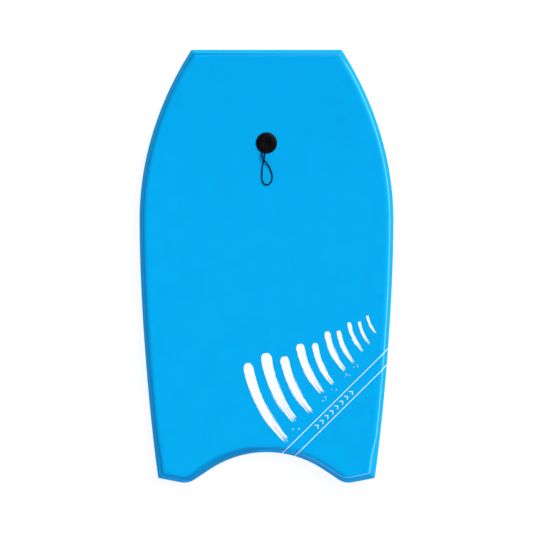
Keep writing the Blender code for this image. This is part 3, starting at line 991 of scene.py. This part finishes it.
def strip_section():
    """A strip's section: rounded outer edges, a slight crown, and a straight glued back."""
    low, high = SLICK + GAP, APEX_HEIGHT
    eased = STRIP_ROUND / 4
    made = [(rail_inset(low) + STRIP_ROUND, low), (rail_inset(low) + eased, low + eased)]
    for i in range(STRIP_ROWS + 1):
        z = low + STRIP_ROUND + (high - low - 2 * STRIP_ROUND) * i / STRIP_ROWS
        crown = STRIP_CROWN * math.sin(math.pi * i / STRIP_ROWS)
        made.append((rail_inset(z) - crown * (z < high - STRIP_ROUND), z))
    return [
        *made,
        (rail_inset(high) + eased, high - eased),
        (rail_inset(high) + STRIP_ROUND, high),
        (rail_inset(high) + RAIL_WALL, high),
        (rail_inset(low) + RAIL_WALL, low),
    ]


def edge_strip(name, stands_for, first, last):
    """A foam strip glued round the edge from one corner to another."""
    rings = [ring(d, z) for d, z in strip_section()]
    length = (CORNER[last] - CORNER[first]) % COUNT
    stations = [(CORNER[first] + i) % COUNT for i in range(length + 1)]
    rows = [[points[i] for points in rings] for i in stations]
    for end, beside in ((0, 1), (-1, -2)):
        for k, point in enumerate(rows[end]):
            rows[end][k] = point + (rows[beside][k] - point).normalized() * GAP / 2
    bm = bmesh.new()
    loops = [[bm.verts.new(p) for p in row] for row in rows]
    for here, there in zip(loops, loops[1:]):
        bridge(bm, here, there)
    bm.faces.new(loops[0])
    bm.faces.new(loops[-1])
    return add_mesh(name, bm, "board", RAIL, [stands_for])


for strip in (
    ("rail_right", "rail_strip_right", "nose_right", "tail_right"),
    ("tail_right", "tail_strip_right", "tail_right", "horn_right"),
    ("tail_middle", "tail_strip_centre", "horn_right", "horn_left"),
    ("tail_left", "tail_strip_left", "horn_left", "tail_left"),
    ("rail_left", "rail_strip_left", "tail_left", "nose_left"),
    ("nose_edge", "nose_strip", "nose_left", "nose_right"),
):
    edge_strip(*strip)


# ---- Leash plug ----

TURN_SEGMENTS = 72
THREAD_STEPS_PER_PITCH = 10
DISC_KEYS = [
    (0.0080, HOLE_MOUTH), (0.0088, 0.0029), (0.0097, 0.0038),
    (0.0115, 0.0043), (0.0165, 0.0040), (0.0215, 0.0032),
    (0.0243, 0.0023), (0.0253, 0.0016), (PLUG_RADIUS, 0.0010),
]
MOUTH_ROUND = 0.0008
MOUTH_STEPS = 6
DISC_STEPS = 4
DISC_UNDER = -0.0022
RIM_ROUND = 0.0003


def turned(rows):
    """A solid of revolution about the plug's axis. A row is a radius, which may follow the angle, and
    a height. The last row joins the first."""
    bm = bmesh.new()
    loops = []
    for radius, height in rows:
        loop = []
        for i in range(TURN_SEGMENTS):
            angle = 2 * math.pi * i / TURN_SEGMENTS
            r = radius(angle) if callable(radius) else radius
            loop.append(bm.verts.new(at_plug(r * math.cos(angle), r * math.sin(angle), height)))
        loops.append(loop)
    for lower, upper in zip(loops, [*loops[1:], loops[0]]):
        bridge(bm, lower, upper)
    return bm


def thread_rows(radius_at):
    """Rows down the thread, which fades in over a pitch at both ends."""
    step = THREAD_PITCH / THREAD_STEPS_PER_PITCH
    rows = []
    for i in range(round((THREAD_TOP - THREAD_BOTTOM) / step) + 1):
        height = THREAD_TOP - step * i
        fade = min(1.0, min(THREAD_TOP - height, height - THREAD_BOTTOM) / THREAD_PITCH)
        rows.append((lambda a, z=height, f=fade: radius_at(a, z, f), height))
    return rows


def crest(angle, height):
    phase = (height / THREAD_PITCH - angle / (2 * math.pi)) % 1.0
    return 1 - abs(2 * phase - 1)


def plug_top():
    """The plug's domed disc, with its hole for the string and its hollow threaded stem."""
    keys = [Vector((r, z, 0)) for r, z in DISC_KEYS]
    disc = [(p.x, p.y) for p in smooth_curve(keys, DISC_STEPS)]
    mouth = [
        (HOLE_RADIUS + MOUTH_ROUND * (1 - math.sin(a)), HOLE_MOUTH - MOUTH_ROUND * (1 - math.cos(a)))
        for a in (math.pi / 2 * i / MOUTH_STEPS for i in range(MOUTH_STEPS, -1, -1))
    ]
    stem = thread_rows(lambda a, z, f: THREAD_ROOT + THREAD_HEIGHT * f * crest(a, z))
    rows = [
        (STEM_BORE, DISC_UNDER), (HOLE_RADIUS, DISC_UNDER), *mouth, *disc,
        (PLUG_RADIUS, PLUG_SEAT + RIM_ROUND), (PLUG_RADIUS - RIM_ROUND, PLUG_SEAT),
        (THREAD_ROOT, PLUG_SEAT), *stem, (THREAD_ROOT, STEM_END), (STEM_BORE, STEM_END),
    ]
    add_mesh("plug_disc", turned(rows), "board", NYLON, ["leash_plug_top"], 50)


plug_top()


# ---- Printed graphics ----

INK_FILM = 0.00012
INK_SUNK = 0.00006
LINE_WIDTH = 0.0015
LINES = [((0.0405, -0.4459), (0.2960, -0.1936)), ((0.0700, -0.4535), (0.2935, -0.2323))]
LINE_STEP = 0.0015
LINE_RUN_OUT = 0.03
EDGE_CLEAR = 0.0004


def surface_of(piece):
    mesh = piece.data
    return BVHTree.FromPolygons(
        [v.co.copy() for v in mesh.vertices], [tuple(p.vertices) for p in mesh.polygons]
    )


DECK_SURFACE = surface_of(deck)


def on_deck(x, y):
    """The deck's surface and its normal at a place in plan, or None off the board."""
    hit, normal, _, _ = DECK_SURFACE.ray_cast(Vector((x, y, 0.5)), Vector((0, 0, -1)))
    if hit is None or hit.z < APEX_HEIGHT + rocker(y):
        return None
    return hit, normal


def film(bm, points, faces):
    """A closed thin film of ink on the deck, from a flat mesh in plan."""
    tops, lows = [], []
    for x, y in points:
        hit, normal = on_deck(x, y)
        tops.append(bm.verts.new(hit + normal * INK_FILM))
        lows.append(bm.verts.new(hit - normal * INK_SUNK))
    edges = set()
    for face in faces:
        bm.faces.new([tops[i] for i in face])
        bm.faces.new([lows[i] for i in reversed(face)])
        edges.update(zip(face, [*face[1:], face[0]]))
    for a, b in sorted(edges):
        if (b, a) not in edges:
            bm.faces.new((tops[b], tops[a], lows[a], lows[b]))


def on_board(point):
    """True where a point in plan is inside the outline and a little clear of it."""
    if not on_deck(point.x, point.y):
        return False
    return min((point - p).length for p in OUTLINE) > EDGE_CLEAR


def stripe(bm, start, end):
    """A thin straight line that runs off the board at both ends, over the chine."""
    a, b = Vector(start), Vector(end)
    run = (b - a).normalized()
    across = Vector((-run.y, run.x)) * LINE_WIDTH / 2
    a, b = a - run * LINE_RUN_OUT, b + run * LINE_RUN_OUT
    count = round((b - a).length / LINE_STEP)
    rows = []
    for i in range(count + 1):
        middle = a.lerp(b, i / count)
        if on_board(middle + across) and on_board(middle - across):
            rows.append((middle + across, middle - across))
    points = [p for row in rows for p in row]
    faces = [(2 * i, 2 * i + 1, 2 * i + 3, 2 * i + 2) for i in range(len(rows) - 1)]
    film(bm, points, faces)


def shape(bm, outline):
    """A filled shape on the deck from its outline in plan."""
    made = delaunay_2d_cdt(outline, [], [anticlockwise(outline)], 1, 1e-7)
    film(bm, made[0], [tuple(f) for f in made[2]])


# Brush strokes, each from its head to its tail with its width, in mm
STROKES = [
    ((-46, -230), (43, -412), 24), ((-2, -206), (64, -364), 26),
    ((42, -214), (104, -346), 21), ((80, -184), (132, -300), 20),
    ((116, -182), (158, -280), 15), ((145, -154), (186, -246), 14.5),
    ((173, -152), (208, -228), 11), ((198, -132), (230, -201), 9.5),
    ((223, -130), (247, -184), 7), ((242, -116), (262, -158), 6),
]
STROKE_BOW = 0.15
HEAD_SHARE = 0.10
TAPER = 0.42
TAPER_POWER = 1.6
RAGGED = 0.0009
STROKE_STEP = 0.0016
BRISTLES = 9
BRISTLE_REACH = (0.01, 0.08)
OUTER_SHORTER = 0.4
SHORT_GAP = (0.005, 0.05)
DRY_GAP = (0.14, 0.34)
DRY_GAPS = 2
DRY_WIDTH = 0.0008

# Streaks beside a stroke: how far out in half widths, where they run along it, and half their width
STREAKS = 2
STREAK_OUT = (1.10, 1.22)
STREAK_FROM = (0.30, 0.55)
STREAK_TO = (0.72, 0.95)
STREAK_THIN = (0.00035, 0.0006)
STREAK_STEPS = 14

# Droplets past the tails of the first strokes: how far on and to the side, and their radius
DROPLETS = 26
DROPLET_STROKES = 7
DROPLET_ON = (0.12, 0.20)
DROPLET_ASIDE = (-0.6, 0.6)
DROPLET_RADIUS = (0.0005, 0.0016)
DROPLET_CLEAR = 0.003
DROPLET_SIDES = 12


def bowed(a, b, bow):
    """A bowed line from a to b, as a function of the share along it and the distance across it."""
    side = Vector((a.y - b.y, b.x - a.x)).normalized()
    middle = (a + b) / 2 - side * (b - a).length * bow

    def place(t, across):
        s = 1 - t
        centre = a * s * s + middle * 2 * s * t + b * t * t
        heading = ((middle - a) * s + (b - middle) * t).normalized()
        return centre + Vector((-heading.y, heading.x)) * across

    return place


def swell(t):
    """A stroke's width at a share along it, against its width at the head."""
    return 1 - TAPER * t**TAPER_POWER


def brush_stroke(bm, draw, start, end, width):
    """A bowed stroke with a round head, slightly ragged sides, and a thinner tail of bristle marks."""
    a, b = Vector(start) * MM, Vector(end) * MM
    place = bowed(a, b, STROKE_BOW)
    count = round((b - a).length / STROKE_STEP)
    wander = [draw.uniform(-1, 1) for _ in range(2 * count + 8)]
    half = width * MM / 2

    def reach(t, i):
        head = math.sqrt(max(0.0, 1 - (1 - min(1.0, t / HEAD_SHARE)) ** 2))
        return half * head * swell(t) + RAGGED * sum(wander[i : i + 3]) / 3

    outline = []
    for i in range(1, count + 1):
        outline.append(place(i / count, reach(i / count, i)))
    tail = reach(1.0, 0)
    dry = set(draw.sample(range(1, BRISTLES - 2), DRY_GAPS))
    for k in range(BRISTLES):
        share = 1 - 2 * (k + 0.5) / BRISTLES
        out = draw.uniform(*BRISTLE_REACH) * (1 - OUTER_SHORTER * abs(share))
        outline.append(place(1 + out, tail * share))
        if k == BRISTLES - 1:
            continue
        split = 1 - 2 * (k + 1) / BRISTLES
        deep = draw.uniform(*(DRY_GAP if k in dry else SHORT_GAP))
        if k in dry:
            outline.append(place(1 - deep / 2, tail * split + DRY_WIDTH / 2))
        outline.append(place(1 - deep, tail * split))
        if k in dry:
            outline.append(place(1 - deep / 2, tail * split - DRY_WIDTH / 2))
    for i in range(count, 0, -1):
        outline.append(place(i / count, -reach(i / count, count + i)))
    shape(bm, outline)
    for k in range(STREAKS):
        across = (-1 if k % 2 else 1) * half * draw.uniform(*STREAK_OUT)
        first, last = draw.uniform(*STREAK_FROM), draw.uniform(*STREAK_TO)
        thin = draw.uniform(*STREAK_THIN)
        upper, lower = [], []
        for i in range(STREAK_STEPS + 1):
            t = first + (last - first) * i / STREAK_STEPS
            thick = thin * math.sin(math.pi * i / STREAK_STEPS)
            upper.append(place(t, across * swell(t) + thick))
            lower.append(place(t, across * swell(t) - thick))
        shape(bm, upper + lower[-2:0:-1])


def droplets(bm, draw):
    """Small round spots flicked off the tails of the strokes."""
    for _ in range(DROPLETS):
        start, end, width = STROKES[draw.randrange(0, DROPLET_STROKES)]
        a, b = Vector(start) * MM, Vector(end) * MM
        along = (b - a).normalized()
        centre = b + along * draw.uniform(*DROPLET_ON) * (b - a).length
        centre += Vector((-along.y, along.x)) * draw.uniform(*DROPLET_ASIDE) * width * MM
        radius = draw.uniform(*DROPLET_RADIUS)
        if not on_stripes(centre, radius + DROPLET_CLEAR):
            shape(bm, circle(centre, radius, DROPLET_SIDES))


def on_stripes(point, clear):
    """True near the band between the two stripes."""
    (ax, ay), (bx, by) = LINES[0]
    run = Vector((bx - ax, by - ay)).normalized()
    return (point - Vector((ax, ay))).dot(Vector((-run.y, run.x))) < clear


CHEVRONS = 8
CHEVRON_START = Vector((0.1235, -0.3817))
CHEVRON_PITCH = 0.0165
CHEVRON_HALF = 0.0055
CHEVRON_REACH = 0.0060
CHEVRON_THICK = 0.00255


def chevron(bm, centre, run):
    """A small arrowhead that points along the stripes."""
    across = Vector((-run.y, run.x))
    back, front = -CHEVRON_REACH, CHEVRON_THICK - CHEVRON_REACH
    corners = [(back, 1), (front, 1), (CHEVRON_THICK, 0), (front, -1), (back, -1), (0, 0)]
    shape(bm, [centre + run * u + across * CHEVRON_HALF * v for u, v in corners])


def graphics():
    draw = random.Random(41)
    bm = bmesh.new()
    for stroke in STROKES:
        brush_stroke(bm, draw, *stroke)
    droplets(bm, draw)
    add_mesh("print_strokes", bm, "board", INK)
    bm = bmesh.new()
    for start, end in LINES:
        stripe(bm, start, end)
    add_mesh("print_stripes", bm, "board", INK)
    run = (Vector(LINES[0][1]) - Vector(LINES[0][0])).normalized()
    bm = bmesh.new()
    for i in range(CHEVRONS):
        chevron(bm, CHEVRON_START + run * CHEVRON_PITCH * i, run)
    add_mesh("print_chevrons", bm, "board", INK)


graphics()


# ---- Carried-over solids ----

for node, finish in (("foam_core", CORE), ("leash_plug_base", NYLON), ("string_knot", BRAID)):
    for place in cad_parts[node].material_slots:
        place.material = finish


# ---- Floor and light ----

KEY_TOWARDS = Vector((0.48, 0.51, 0.70))
KEY_STRENGTH = 3.38
KEY_COLOUR = (1.0, 0.99, 0.88)
KEY_SPREAD = math.radians(45)
FILL_TOWARDS = Vector((-0.10, -0.80, 0.60))
FILL_STRENGTH = 0.74
FILL_COLOUR = (0.85, 0.97, 1.30)
FILL_SPREAD = math.radians(60)
SKY = (0.10, 0.125, 0.185, 1.0)
HORIZON_HEIGHTS = (0.02, 0.12)
FLOOR_HALF = 30.0
FLOOR_GREY = 0.12
FLOOR_GLOW = 0.91


def sun(name, towards, strength, colour, spread):
    data = bpy.data.lights.new(name, "SUN")
    data.energy, data.color, data.angle = strength, colour, spread
    lamp = bpy.data.objects.new(name, data)
    lamp.rotation_mode = "QUATERNION"
    lamp.rotation_quaternion = towards.to_track_quat("Z", "Y")
    link(lamp)


def studio():
    """A white floor, an even sky that is white at the horizon, a broad key light and a broad fill."""
    scene = bpy.context.scene
    world = bpy.data.worlds.new("studio")
    world.use_nodes = True
    scene.world = world
    tree = world.node_tree
    place = add(tree, "ShaderNodeTexCoord").outputs["Generated"]
    height = add(tree, "ShaderNodeSeparateXYZ", {"Vector": place}).outputs["Z"]
    colour = add(
        tree, "ShaderNodeValToRGB", {"Fac": height},
        stops=list(zip(HORIZON_HEIGHTS, (grey(1.0), SKY))),
    ).outputs["Color"]
    background = tree.nodes["Background"]
    tree.links.new(colour, background.inputs["Color"])
    background.inputs["Strength"].default_value = 1.0
    sun("key", KEY_TOWARDS, KEY_STRENGTH, KEY_COLOUR, KEY_SPREAD)
    sun("fill", FILL_TOWARDS, FILL_STRENGTH, FILL_COLOUR, FILL_SPREAD)

    low = CAD_BOX[0].z
    mesh = bpy.data.meshes.new("floor")
    mesh.from_pydata(
        [(x * FLOOR_HALF, y * FLOOR_HALF, low) for x, y in ((-1, -1), (1, -1), (1, 1), (-1, 1))],
        [], [(0, 1, 2, 3)],
    )
    floor = bpy.data.objects.new("floor", mesh)
    link(floor)
    paper = start_material(
        "white backdrop paper", Roughness=0.9, Base_Color=grey(FLOOR_GREY),
        Emission_Color=grey(1.0), Emission_Strength=FLOOR_GLOW,
    )
    mesh.materials.append(paper[0])
    view = scene.view_settings
    view.view_transform, view.look = "Standard", "None"
    view.exposure, view.gamma = 0.0, 1.0


studio()
